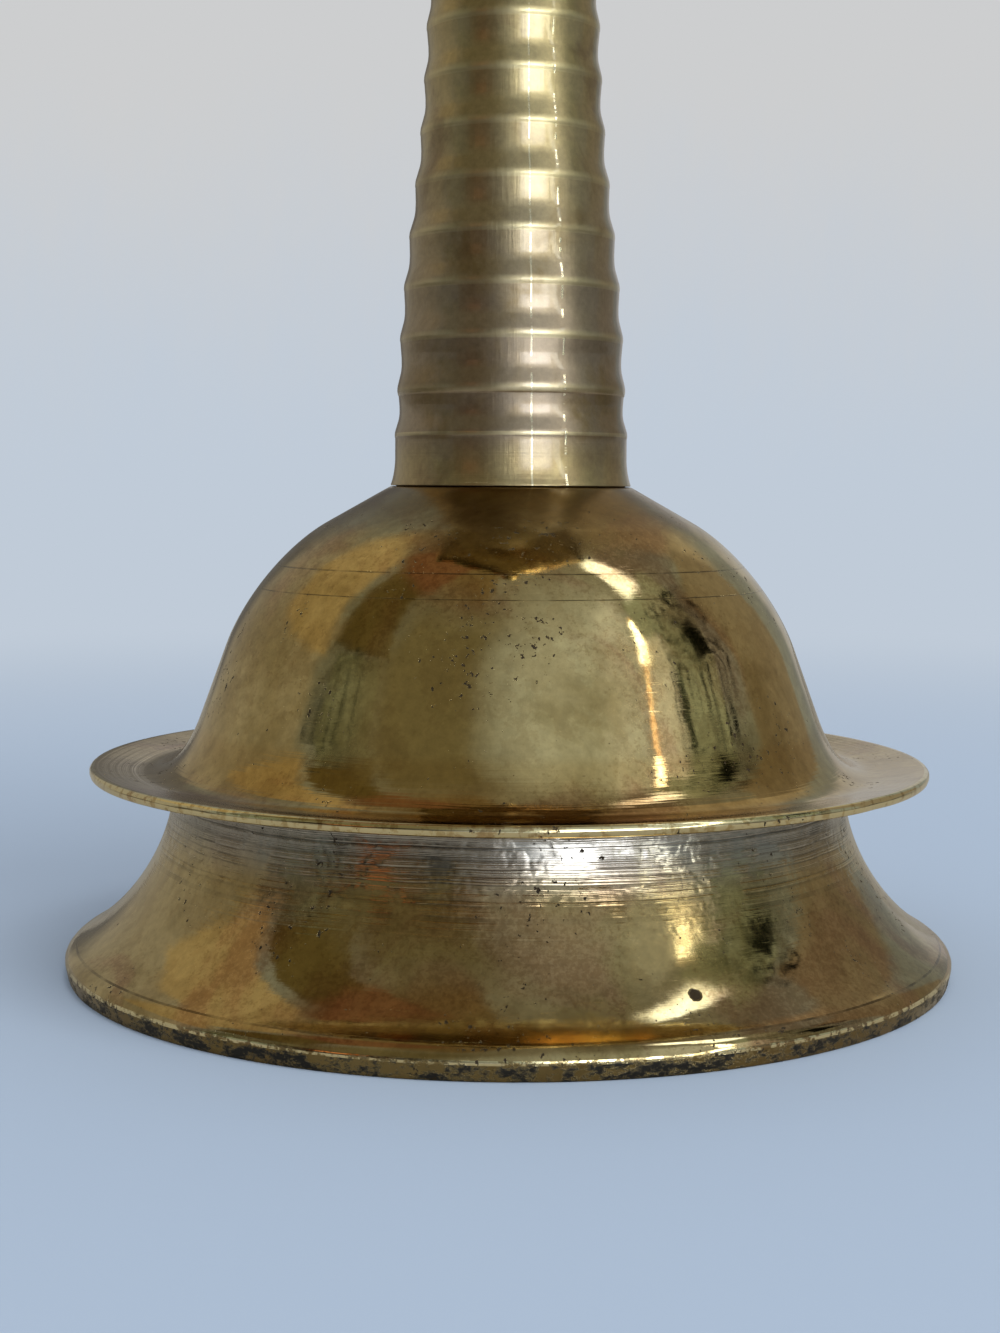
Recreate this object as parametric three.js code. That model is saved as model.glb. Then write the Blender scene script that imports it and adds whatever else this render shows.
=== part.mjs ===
// Nilavilakku: a brass oil lamp that stands on the floor.
// Four turned castings screw together on short tenons, with a thin packing washer in each joint.
// Millimetres, +Z up. The origin is the middle of the foot ring, on the surface that the lamp stands on.

import * as THREE from 'three';

// Base: a hollow casting with a flared skirt, a thin drip flange and a bell-shaped dome
const rimRadius = 50;
const rimEdgeHeight = 1.7;
const rimUndercut = 0.35;
const footRingWidth = 2.8;
const skirtFootInset = 1.65;
const skirtFootHeight = 3.5;
const skirtFootRun = 5.95;
const skirtFootRise = 3.65;
const skirtWaistRise = 6;
const waistRadius = 38;
const flangeRadius = 47.1;
const flangeHeight = 23.2;
const flangeThickness = 1.2;
const flangeDish = 1.4;
const coveHeight = 6.5;
const coveWidth = 3.1;
const coveRise = 6.6;
const coveShare = 0.38;
const flankHeight = 7.9;
const flankLean = 0.365;
const shoulderHeight = 13.8;
const shoulderWidth = 11.4;
const shoulderRise = 5;
const shoulderRun = 5.6;
const seatHeight = 54;
const baseWall = 2.2;
const bossRadius = 9.5;
const bossDepth = 13;

// Screwed joints: every tenon has one thread size, and its socket is one clearance wider
const tenonRadius = 5;
const threadClearance = 0.3;
const tenonChamfer = 0.8;
const lowerTenonLength = 10;
const upperTenonLength = 8;
const finialTenonLength = 7;
const tenonGap = 4;
const basePacking = 0.3;
const bowlPacking = 0.8;
const packingInset = 0.5;

// Stem: a tapering column of turned rings between a flared foot and a moulded neck
const stemFootRadius = 13.55;
const stemFootFlare = 2.4;
const footBandHeight = 4.9;
const footBandRadius = 13.15;
const footBandRelief = 0.1;
const firstRingPitch = 4.9;
const firstRingRadius = 12.77;
const ringPitch = 5.69;
const ringTaper = 0.457;
const ringCount = 12;
const ringRelief = 0.3;
const ringWave = 0.22;
const ringsInWave = 7;
const ringPhases = [0, 0.26, 0.6];
const neckHeight = 16;
const neckFillet = 0.8;
const neckBeadRadius = 8.6;
const neckBeadHeight = 3;
const neckWaistRadius = 6.4;
const saucerRadius = 13;
const saucerHeight = 10.5;
const saucerThickness = 1.4;
const collarWaistRadius = 8;
const stemSeatRadius = 9.5;
const stemSeatHeight = 0.6;

// Oil bowl: a shallow dish round a tall hub, its rim drawn out into five wick lips
const bowlRadius = 42;
const bowlDepth = 13.5;
const bowlWall = 1.8;
const bowlBeadOverhang = 1;
const bowlBeadHeight = 2.2;
const bowlFlareRun = 3.6;
const bowlFlareRise = 6.5;
const bowlFootRadius = 11.5;
const bowlFootHeight = 2;
const bowlFloorRun = 15;
const bowlFloorRise = 0.6;
const hubRadius = 8.2;
const hubFillet = 4;
const hubChamfer = 0.6;
const lipCount = 5;
const lipReach = 6.5;
const lipDrop = 1.6;
const lipSharpness = 5;
const lipStartRadius = 29;

// Finial: a foot, a small ringed spire, a disc, a gourd and a pointed bud
const finialHeight = 86;
const finialFootRadius = 8;
const finialFootHeight = 1.4;
const finialCoveHeight = 7.5;
const spireCoveDepth = 0.8;
const spireFootRadius = 6.4;
const spireTopRadius = 4.4;
const spireRingPitch = 4.2;
const spireRingCount = 6;
const spireRingRelief = 0.35;
const discRadius = 9.6;
const discRise = 2;
const discThickness = 1.3;
const gourdFootRadius = 4;
const gourdFootHeight = 1.5;
const gourdRadius = 9.9;
const gourdHeight = 15;
const finialNeckRadius = 2.8;
const beadRadius = 6.1;
const beadHeight = 3;
const budFootRadius = 2.4;
const budFootHeight = 0.8;
const budRadius = 7.4;
const budHeight = 19;
const tipRadius = 0.7;
const tipTaper = 2;

// How finely round forms are cut into flat facets
const facetTurn = THREE.MathUtils.degToRad(16);
const baseSides = 56;
const stemSides = 26;
const bowlSides = 60;
const finialSides = 20;
const washerSides = 24;

// Sizes that follow from the ones above
const socketRadius = tenonRadius + threadClearance;
const flangeRoot = flangeHeight - flangeDish;
const stemFoot = seatHeight + basePacking;
const ringFoot = stemFoot + footBandHeight + firstRingPitch;
const neckFoot = ringFoot + (ringCount - 1 + ringPhases.at(-1)) * ringPitch;
const stemTop = neckFoot + neckHeight;
const bowlFoot = stemTop + bowlPacking;
const hubTop = stemTop + upperTenonLength + tenonGap + finialTenonLength - bowlPacking;
const finialFoot = hubTop + bowlPacking;

const brass = { metalness: 1, roughness: 0.3 };
const polishedBrass = new THREE.MeshStandardMaterial({ color: 0x9a7f45, ...brass });
const satinBrass = new THREE.MeshStandardMaterial({ color: 0x8c7a55, ...brass, roughness: 0.45 });
const fibre = new THREE.MeshStandardMaterial({ color: 0x3a2c1e, roughness: 0.9 });

// The points of an outline in the (radius, height) half plane: a straight run gives its two ends,
// and a curve gives one more for each facetTurn that it bends.
function outlinePoints(outline) {
  const points = [];
  for (const curve of outline.curves) {
    const steps = curve.isLineCurve ? 1 : Math.max(2, Math.ceil(bendOf(curve) / facetTurn));
    for (const point of curve.getPoints(steps)) {
      const last = points.at(-1);
      if (!last || last.distanceTo(point) > 1e-6) points.push(point);
    }
  }
  return points;
}

function bendOf(curve) {
  const samples = 12;
  let bend = 0;
  for (let i = 1; i <= samples; i += 1) {
    const before = curve.getTangent((i - 1) / samples);
    bend += before.angleTo(curve.getTangent(i / samples));
  }
  return bend;
}

// The same run of points moved sideways by a wall's thickness, square to the run at each point
function wallInside(points, wall) {
  return points.map((point, i) => {
    const along = points[Math.min(i + 1, points.length - 1)].clone();
    along.sub(points[Math.max(i - 1, 0)]).normalize();
    return new THREE.Vector2(point.x - along.y * wall, point.y + along.x * wall);
  });
}

// A solid turned about the Z axis from an outline that ends on the axis or closes on itself
function turned(name, points, sides, material) {
  const geometry = new THREE.LatheGeometry(points, sides);
  geometry.rotateX(Math.PI / 2);
  const mesh = new THREE.Mesh(geometry, material);
  mesh.name = name;
  return mesh;
}

// A column of turned rings: each ring is fullest at its lower edge and hollows away above it.
// Heights count up from foot, and radiusAt gives the fullest radius at any number of rings up.
function ringedRun(foot, pitch, count, relief, radiusAt) {
  const points = [];
  for (let ring = 0; ring < count; ring += 1) {
    for (const phase of ringPhases) {
      const hollow = relief * Math.sin(Math.PI * phase);
      points.push(new THREE.Vector2(radiusAt(ring + phase) - hollow, foot + (ring + phase) * pitch));
    }
  }
  return points;
}

// The rounded edge of the foot ring, which tapers in to the surface that the lamp stands on
function rimCurve() {
  const rim = new THREE.Path();
  rim.moveTo(rimRadius - footRingWidth, 0);
  rim.lineTo(rimRadius - rimUndercut, 0);
  rim.lineTo(rimRadius, rimEdgeHeight);
  rim.quadraticCurveTo(
    rimRadius, (rimEdgeHeight + skirtFootHeight) / 2,
    rimRadius - skirtFootInset, skirtFootHeight,
  );
  return rim;
}

// The outer wall of the base from the foot of the skirt up to the underside of the flange
function skirtCurve() {
  const skirtTop = flangeRoot - flangeThickness;
  const skirt = new THREE.Path();
  skirt.moveTo(rimRadius - skirtFootInset, skirtFootHeight);
  skirt.bezierCurveTo(
    rimRadius - skirtFootInset - skirtFootRun, skirtFootHeight + skirtFootRise,
    waistRadius, skirtTop - skirtWaistRise,
    waistRadius, skirtTop,
  );
  return skirt;
}

// The bell-shaped dome: a cove that flares out over a share of the flange, a leaning flank, a round shoulder
// and a straight slope to the seat
function domeCurve() {
  const flankFoot = new THREE.Vector2(waistRadius - coveWidth, flangeRoot + coveHeight);
  const flankTop = new THREE.Vector2(flankFoot.x - flankLean * flankHeight, flankFoot.y + flankHeight);
  const crown = new THREE.Vector2(flankTop.x - shoulderWidth, flankTop.y + shoulderHeight);
  const slope = new THREE.Vector2(crown.x - stemFootRadius, crown.y - seatHeight).normalize();
  const dome = new THREE.Path();
  dome.moveTo(
    THREE.MathUtils.lerp(waistRadius, flangeRadius, coveShare),
    THREE.MathUtils.lerp(flangeRoot, flangeHeight, coveShare),
  );
  dome.quadraticCurveTo(
    flankFoot.x + flankLean * coveRise, flankFoot.y - coveRise,
    flankFoot.x, flankFoot.y,
  );
  dome.lineTo(flankTop.x, flankTop.y);
  dome.bezierCurveTo(
    flankTop.x - flankLean * shoulderRise, flankTop.y + shoulderRise,
    crown.x + slope.x * shoulderRun, crown.y + slope.y * shoulderRun,
    crown.x, crown.y,
  );
  dome.lineTo(stemFootRadius, seatHeight);
  return dome;
}

// One casting of even wall: foot ring, skirt, flange and dome outside, and a bored boss inside for the stem
function baseCasting() {
  const skirt = outlinePoints(skirtCurve());
  const dome = outlinePoints(domeCurve());
  const wall = dome.filter((point) => point.x < waistRadius);
  const inside = wallInside([...skirt, ...wall], baseWall).reverse();
  const bossFoot = seatHeight - bossDepth;
  const points = [
    ...outlinePoints(rimCurve()),
    ...skirt.slice(1),
    new THREE.Vector2(flangeRadius, flangeHeight - flangeThickness),
    new THREE.Vector2(flangeRadius, flangeHeight),
    ...dome,
    new THREE.Vector2(socketRadius, seatHeight),
    new THREE.Vector2(socketRadius, bossFoot),
    new THREE.Vector2(bossRadius, bossFoot),
    new THREE.Vector2(bossRadius, inside[0].y),
    ...inside,
  ];
  points.push(points[0].clone());
  return turned('base_casting', points, baseSides, polishedBrass);
}

// A flat ring of packing that seals and steadies a screwed joint
function washer(name, height, thickness, radius) {
  const points = [
    new THREE.Vector2(socketRadius, height),
    new THREE.Vector2(radius, height),
    new THREE.Vector2(radius, height + thickness),
    new THREE.Vector2(socketRadius, height + thickness),
    new THREE.Vector2(socketRadius, height),
  ];
  return turned(name, points, washerSides, fibre);
}

// The fullest radius of the stem at any number of rings up: an even taper with a slow, shallow wave
function ringRadius(rings) {
  const wave = ringWave * Math.sin((2 * Math.PI * rings) / ringsInWave);
  return firstRingRadius - ringTaper * rings + wave;
}

// A tenon's end on the axis, its chamfer and its full radius, from the end at tip to the shoulder
function tenonPoints(tip, shoulder) {
  const chamfer = Math.sign(shoulder - tip) * tenonChamfer;
  return [
    new THREE.Vector2(0, tip),
    new THREE.Vector2(tenonRadius - tenonChamfer, tip),
    new THREE.Vector2(tenonRadius, tip + chamfer),
    new THREE.Vector2(tenonRadius, shoulder),
  ];
}

// The stem's foot flares out to cover its packing, with a plain band above the flare
function stemFootCurve() {
  const foot = new THREE.Path();
  foot.moveTo(stemFootRadius, stemFoot);
  foot.quadraticCurveTo(
    footBandRadius, stemFoot + stemFootFlare / 4,
    footBandRadius - footBandRelief, stemFoot + stemFootFlare,
  );
  return foot;
}

// The neck: a bead above the rings, a slender waist, a thin saucer and a collar that carries the bowl
function neckCurve() {
  const beadFoot = neckFoot + neckFillet;
  const beadTop = beadFoot + neckBeadHeight;
  const saucerEdge = neckFoot + saucerHeight;
  const collarFoot = saucerEdge + saucerThickness;
  const collarTop = stemTop - stemSeatHeight;
  const topRing = ringRadius(ringCount);
  const neck = new THREE.Path();
  neck.moveTo(topRing, beadFoot);
  neck.quadraticCurveTo(2 * neckBeadRadius - topRing, (beadFoot + beadTop) / 2, topRing, beadTop);
  neck.bezierCurveTo(
    neckWaistRadius, beadTop,
    neckWaistRadius, saucerEdge,
    saucerRadius, saucerEdge,
  );
  neck.lineTo(saucerRadius, collarFoot);
  neck.bezierCurveTo(
    collarWaistRadius, collarFoot,
    collarWaistRadius, collarTop,
    stemSeatRadius, collarTop,
  );
  neck.lineTo(stemSeatRadius, stemTop);
  return neck;
}

function stem() {
  const bandRadius = (rings) => THREE.MathUtils.lerp(footBandRadius, firstRingRadius, rings);
  const points = [
    ...tenonPoints(stemFoot - lowerTenonLength, stemFoot),
    ...outlinePoints(stemFootCurve()),
    ...ringedRun(stemFoot + footBandHeight, firstRingPitch, 1, ringRelief, bandRadius),
    ...ringedRun(ringFoot, ringPitch, ringCount, ringRelief, ringRadius),
    ...outlinePoints(neckCurve()),
    ...tenonPoints(stemTop + upperTenonLength, stemTop).reverse(),
  ];
  return turned('stem', points, stemSides, satinBrass);
}

// The underside of the dish, from its foot out to the bead round its rim
function dishCurve() {
  const beadFoot = bowlFoot + bowlDepth - bowlBeadHeight;
  const dishRadius = bowlRadius - bowlBeadOverhang;
  const dish = new THREE.Path();
  dish.moveTo(bowlFootRadius, bowlFoot + bowlFootHeight);
  dish.bezierCurveTo(
    bowlFootRadius + bowlFloorRun, bowlFoot + bowlFootHeight + bowlFloorRise,
    dishRadius - bowlFlareRun, beadFoot - bowlFlareRise,
    dishRadius, beadFoot,
  );
  return dish;
}

// The bored hub inside the dish, from its filleted foot up to its chamfered top
function hubCurve(floor) {
  const hub = new THREE.Path();
  hub.moveTo(hubRadius + hubFillet, floor);
  hub.quadraticCurveTo(hubRadius, floor, hubRadius, floor + hubFillet);
  hub.lineTo(hubRadius, hubTop - hubChamfer);
  hub.lineTo(hubRadius - hubChamfer, hubTop);
  hub.lineTo(socketRadius, hubTop);
  return hub;
}

// The bowl before its lips are drawn out: an even wall with a beaded rim outside and the hub inside
function bowlOutline() {
  const rimTop = bowlFoot + bowlDepth;
  const dish = outlinePoints(dishCurve());
  const inside = wallInside(dish, bowlWall).reverse();
  const hub = outlinePoints(hubCurve(inside.at(-1).y));
  const points = [
    new THREE.Vector2(socketRadius, bowlFoot),
    new THREE.Vector2(bowlFootRadius, bowlFoot),
    ...dish,
    new THREE.Vector2(bowlRadius, rimTop - bowlBeadHeight / 2),
    new THREE.Vector2(bowlRadius - bowlBeadOverhang / 2, rimTop),
    new THREE.Vector2(inside[0].x, rimTop),
    ...inside.slice(0, -1),
    ...hub,
    new THREE.Vector2(socketRadius, bowlFoot),
  ];
  return points;
}

// Draws the rim out and down into lips: each grows smoothly from the dish's wall towards the rim
function drawLips(geometry) {
  const place = geometry.attributes.position;
  for (let i = 0; i < place.count; i += 1) {
    const x = place.getX(i);
    const y = place.getY(i);
    const radius = Math.hypot(x, y);
    const fromFront = Math.atan2(y, x) + Math.PI / 2;
    const across = Math.pow(0.5 + 0.5 * Math.cos(lipCount * fromFront), lipSharpness);
    const outward = THREE.MathUtils.smoothstep(radius, lipStartRadius, bowlRadius);
    const pull = across * outward;
    const stretch = 1 + (lipReach * pull) / Math.max(radius, 1);
    place.setXYZ(i, x * stretch, y * stretch, place.getZ(i) - lipDrop * pull);
  }
}

function oilBowl() {
  const bowl = turned('oil_bowl', bowlOutline(), bowlSides, polishedBrass);
  drawLips(bowl.geometry);
  return bowl;
}

function spireRadius(rings) {
  return THREE.MathUtils.lerp(spireFootRadius, spireTopRadius, rings / spireRingCount);
}

// Above the spire: a thin disc, a gourd, a bead and a bud drawn up to the tip
function crestCurve(foot) {
  const discFoot = foot + discRise;
  const discTop = discFoot + discThickness;
  const gourdFoot = discTop + gourdFootHeight;
  const gourdTop = gourdFoot + gourdHeight;
  const beadTop = gourdTop + beadHeight;
  const budFoot = beadTop + budFootHeight;
  const budTop = budFoot + budHeight;
  const tip = finialFoot + finialHeight;
  const crest = new THREE.Path();
  crest.moveTo(spireTopRadius, foot);
  crest.quadraticCurveTo(spireTopRadius, discFoot, discRadius, discFoot);
  crest.lineTo(discRadius, discTop);
  crest.lineTo(gourdFootRadius, discTop + gourdFootHeight / 3);
  crest.lineTo(gourdFootRadius, gourdFoot);
  crest.bezierCurveTo(
    gourdRadius, gourdFoot + gourdHeight / 8,
    gourdRadius, gourdTop - gourdHeight / 4,
    finialNeckRadius, gourdTop,
  );
  crest.quadraticCurveTo(beadRadius, (gourdTop + beadTop) / 2, finialNeckRadius, beadTop);
  crest.lineTo(budFootRadius, budFoot);
  crest.bezierCurveTo(
    budRadius, budFoot + budHeight / 5,
    budRadius / 2, budTop - budHeight / 3,
    2 * tipRadius, budTop,
  );
  crest.quadraticCurveTo(tipRadius, budTop + tipTaper, tipRadius, tip - tipRadius);
  crest.lineTo(0, tip);
  return crest;
}

// The finial's foot covers its packing, and a cove draws it in to the spire
function finialFootCurve(spireFoot) {
  const foot = new THREE.Path();
  foot.moveTo(finialFootRadius, finialFoot);
  foot.lineTo(finialFootRadius, finialFoot + finialFootHeight);
  foot.quadraticCurveTo(
    spireFootRadius - spireCoveDepth, finialFoot + finialFootHeight,
    spireFootRadius - spireCoveDepth, spireFoot - spireCoveDepth,
  );
  return foot;
}

function finial() {
  const spireFoot = finialFoot + finialCoveHeight;
  const points = [
    ...tenonPoints(finialFoot - finialTenonLength, finialFoot),
    ...outlinePoints(finialFootCurve(spireFoot)),
    ...ringedRun(spireFoot, spireRingPitch, spireRingCount, spireRingRelief, spireRadius),
    ...outlinePoints(crestCurve(spireFoot + spireRingCount * spireRingPitch)),
  ];
  return turned('finial', points, finialSides, polishedBrass);
}

const lamp = new THREE.Group();
lamp.name = 'nilavilakku';
lamp.add(baseCasting());
lamp.add(washer('stem_washer', seatHeight, basePacking, stemFootRadius - packingInset));
lamp.add(stem());
lamp.add(washer('bowl_washer', stemTop, bowlPacking, stemSeatRadius - packingInset));
lamp.add(oilBowl());
lamp.add(washer('finial_washer', hubTop, bowlPacking, finialFootRadius - packingInset));
lamp.add(finial());

export default lamp;
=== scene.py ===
"""A South Indian brass oil lamp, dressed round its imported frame.

Four lathe-turned castings screw together: a hollow base, a ringed stem, an oil bowl with five lips and a finial.
Everything is in metres, +Z up, with the lamp standing on Z = 0 and its front towards -Y.
Outlines are written in millimetres as (radius, height) and turned into metres when they become a mesh.
"""

import math

import bpy
import numpy as np
from mathutils import Matrix, Vector


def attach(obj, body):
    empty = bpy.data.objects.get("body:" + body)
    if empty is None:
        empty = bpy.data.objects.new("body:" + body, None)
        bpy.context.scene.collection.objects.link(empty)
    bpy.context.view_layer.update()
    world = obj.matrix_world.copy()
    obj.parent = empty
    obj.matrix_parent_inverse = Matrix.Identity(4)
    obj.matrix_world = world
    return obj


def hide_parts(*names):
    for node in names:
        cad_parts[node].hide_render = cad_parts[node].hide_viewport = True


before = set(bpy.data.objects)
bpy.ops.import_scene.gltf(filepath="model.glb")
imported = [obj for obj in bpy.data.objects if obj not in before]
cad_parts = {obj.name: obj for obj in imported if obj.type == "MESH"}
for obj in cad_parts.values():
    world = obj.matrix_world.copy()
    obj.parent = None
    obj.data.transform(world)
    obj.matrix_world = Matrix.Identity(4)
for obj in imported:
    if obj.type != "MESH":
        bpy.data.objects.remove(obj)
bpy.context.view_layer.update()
scene = bpy.context.scene
MM = 0.001
SAME = 1e-6  # points closer than this many millimetres count as one


# Outlines: runs of (radius, height) points in millimetres

def line(start, end, steps=2):
    """Evenly spaced points on the straight line between two points."""
    return np.linspace(start, end, steps)


def bend(start, pull, end, steps=40):
    """A quadratic curve: (1-t)^2 start + 2t(1-t) pull + t^2 end."""
    t = np.linspace(0, 1, steps)[:, None]
    start, pull, end = (np.array(point, float) for point in (start, pull, end))
    return (1 - t) ** 2 * start + 2 * t * (1 - t) * pull + t ** 2 * end


def sweep(start, pull_a, pull_b, end, steps=80):
    """A cubic curve: (1-t)^3 start + 3t(1-t)^2 pull_a + 3t^2(1-t) pull_b + t^3 end."""
    t = np.linspace(0, 1, steps)[:, None]
    start, pull_a, pull_b, end = (np.array(point, float) for point in (start, pull_a, pull_b, end))
    return ((1 - t) ** 3 * start + 3 * t * (1 - t) ** 2 * pull_a
            + 3 * t ** 2 * (1 - t) * pull_b + t ** 3 * end)


def joined(*runs):
    """Runs of points end to end, with repeated points dropped."""
    points = np.vstack([np.atleast_2d(np.array(run, float)) for run in runs])
    step = np.hypot(*np.diff(points, axis=0).T)
    return points[np.concatenate([[True], step > SAME])]


def inside_of(run, wall):
    """The run moved inwards by a wall's thickness, square to the run at each point."""
    along = np.gradient(run, axis=0)
    along /= np.hypot(*along.T)[:, None]
    return run + wall * np.column_stack([-along[:, 1], along[:, 0]])


def eased(outline, reach, rows):
    """The outline with its corners rounded and its points spread for a mesh.

    It is walked in steps of 0.04 mm and averaged under a bell curve that is reach mm wide, and rows points are
    picked, closer together where the outline turns: a radian of turn counts as 0.9 mm of length.
    """
    step, turn_weight = 0.04, 0.9
    closed = outline[0, 0] > SAME
    if closed:
        outline = joined(outline, outline[:1])
    length = np.concatenate([[0], np.cumsum(np.hypot(*np.diff(outline, axis=0).T))])
    walk = np.linspace(0, length[-1], int(length[-1] / step))
    points = np.column_stack([np.interp(walk, length, outline[:, k]) for k in (0, 1)])
    half = int(2 * reach / step)
    bell = np.exp(-0.5 * (np.arange(-half, half + 1) * step / (reach / 2)) ** 2)
    bell /= bell.sum()
    if closed:
        points = points[:-1]
        padded = np.vstack([points[-half:], points, points[:half]])
    else:
        before, after = points[half:0:-1], points[-2:-half - 2:-1]
        padded = np.vstack([2 * points[0] - before, points, 2 * points[-1] - after])
    smooth = np.column_stack([np.convolve(padded[:, k], bell, "valid") for k in (0, 1)])
    along = np.gradient(smooth, axis=0)
    heading = np.unwrap(np.arctan2(along[:, 1], along[:, 0]))
    weight = step + turn_weight * np.abs(np.gradient(heading))
    measure = np.concatenate([[0], np.cumsum(0.5 * (weight[1:] + weight[:-1]))])
    pick = np.linspace(0, measure[-1], rows + closed)[:rows]
    return np.column_stack([np.interp(pick, measure, smooth[:, k]) for k in (0, 1)])


# Surfaces: an outline carried round the Z axis

def turned(name, outline, columns, shape=None):
    """A lathe surface on a grid: row i and column j lie at (r sin a, -r cos a, z), where (r, z) is the outline's
    point i and a = 2 pi j / columns, counted from the front. shape(a, r, z) may return changed (r, z) grids.
    An outline that starts and ends on the axis gets one point at each pole, and any other outline is a closed ring.
    The mesh keeps the outline's length so far, in millimetres, as the attribute "run".
    """
    rows = len(outline)
    angle = np.linspace(0, 2 * np.pi, columns, endpoint=False)[None, :]
    radius = np.repeat(outline[:, :1], columns, axis=1)
    height = np.repeat(outline[:, 1:], columns, axis=1)
    run = np.concatenate([[0], np.cumsum(np.hypot(*np.diff(outline, axis=0).T))])
    if shape:
        radius, height = shape(angle, radius, height)
    points = np.stack([radius * np.sin(angle), -radius * np.cos(angle), height], axis=-1) * MM
    run = np.repeat(run[:, None], columns, axis=1)
    grid = np.arange(rows * columns).reshape(rows, columns)
    poles = outline[0, 0] < SAME
    lower = grid[:-1] if poles else grid
    upper = np.roll(grid, -1, axis=0)[:len(lower)]
    quads = np.stack([lower, np.roll(lower, -1, 1), np.roll(upper, -1, 1), upper], axis=-1)
    faces = quads.reshape(-1, 4)
    mesh = bpy.data.meshes.new(name)
    if poles:
        inner = faces[columns:-columns] - columns + 1
        first, last = grid[1] - columns + 1, grid[-2] - columns + 1
        end = (rows - 2) * columns + 1
        caps = [np.stack([np.zeros_like(first), np.roll(first, -1), first], -1),
                np.stack([np.full_like(last, end), last, np.roll(last, -1)], -1)]
        points = np.concatenate([points[0, :1], points[1:-1].reshape(-1, 3), points[-1, :1]])
        run = np.concatenate([run[0, :1], run[1:-1].ravel(), run[-1, :1]])
        mesh.from_pydata(points, [], inner.tolist() + np.concatenate(caps).tolist())
    else:
        mesh.from_pydata(points.reshape(-1, 3), [], faces.tolist())
    mesh.attributes.new("run", "FLOAT", "POINT").data.foreach_set("value", run.ravel())
    mesh.shade_smooth()
    piece = bpy.data.objects.new(name, mesh)
    scene.collection.objects.link(piece)
    return piece


def dress(piece, body, node_name, slot_name, *finishes):
    """Gives a piece its finishes and its body, and hides the solid that it stands for. slot_name is not used."""
    for finish in finishes:
        piece.data.materials.append(finish)
    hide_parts(node_name)
    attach(piece, body)
    return piece


# Base, in millimetres; a pair is (radius, height)
RIM, RIM_FOOT, RIM_EDGE = 50.0, 49.65, 1.7
SKIRT_FOOT = (48.35, 3.5)
WAIST, FLANGE_ROOT, FLANGE_EDGE = 38.0, 21.8, (47.1, 23.2)
FLANGE_THICK = 1.2
COVE_EDGE = (41.46, 22.33)
FLANK_FOOT, FLANK_TOP, CROWN = (34.9, 28.3), (32.02, 36.2), (20.6, 50.0)
SEAT, SEAT_RADIUS = 54.0, 13.55
BASE_WALL, BOSS, BOSS_FOOT, BORE = 2.2, 9.5, 41.0, 5.3
THREAD_PITCH, THREAD_DEPTH = 2.0, 0.55
# Small dents in the flange's edge: place round the lamp and width in radians, and depth
DENTS = ((0.9, 0.03, 0.16), (-0.72, 0.02, 0.14), (2.4, 0.05, 0.2), (4.1, 0.03, 0.15))


def base_outline():
    """Foot ring, skirt, flange, cove and dome outside, then the seat, the bore and the boss, and the same skirt and
    dome moved inwards by the wall's thickness."""
    skirt_top = FLANGE_ROOT - FLANGE_THICK
    skirt = sweep(SKIRT_FOOT, (42.4, 7.15), (WAIST, skirt_top - 6), (WAIST, skirt_top))
    slope = np.subtract(CROWN, (SEAT_RADIUS, SEAT))
    slope /= np.hypot(*slope)
    dome = joined(
        bend(COVE_EDGE, (37.31, 21.7), FLANK_FOOT),
        line(FLANK_FOOT, FLANK_TOP, 30),
        sweep(FLANK_TOP, (30.2, 41.2), np.add(CROWN, 5.6 * slope), CROWN),
        line(CROWN, (SEAT_RADIUS, SEAT), 20),
    )
    inner = inside_of(joined(skirt, dome[dome[:, 0] < WAIST]), BASE_WALL)[::-1]
    under = inner[inner[:, 0] > BOSS]
    return joined(
        (RIM - 2.8, 0), (RIM_FOOT, 0), (RIM, RIM_EDGE),
        bend((RIM, RIM_EDGE), (RIM, 2.7), SKIRT_FOOT),
        skirt,
        (FLANGE_EDGE[0] - 0.15, FLANGE_EDGE[1] - FLANGE_THICK), (FLANGE_EDGE[0], FLANGE_EDGE[1] - 0.8),
        (FLANGE_EDGE[0], FLANGE_EDGE[1] - 0.35), (FLANGE_EDGE[0] - 0.3, FLANGE_EDGE[1] - 0.02),
        dome,
        (BORE, SEAT), (BORE, BOSS_FOOT), (BOSS, BOSS_FOOT), (BOSS, under[0, 1]),
        under,
    )


def thread_turn(angle, height):
    """How far a point is through its turn of the thread, 0 to 1: height / pitch - angle / 2 pi, a right-hand
    helix."""
    return (height / THREAD_PITCH - angle / (2 * np.pi)) % 1


def base_shape(angle, radius, height):
    """The bore has a right-hand female thread, and the flange's edge a few small dents shaped like bell curves."""
    bore = (radius < BORE + 0.3) & (height < SEAT - 1.5) & (height > BOSS_FOOT + 0.5)
    thread = THREAD_DEPTH * 0.6 * (1 - np.abs(2 * thread_turn(angle, height) - 1))
    edge = np.clip((radius - 45.5) / 1.5, 0, 1) * (height > 21) * (height < 24)
    dents = 0
    for place, width, depth in DENTS:
        aside = (angle - place + np.pi) % (2 * np.pi) - np.pi
        dents = dents + depth * np.exp(-0.5 * (aside / width) ** 2)
    return radius + bore * thread - edge * dents, height


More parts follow.
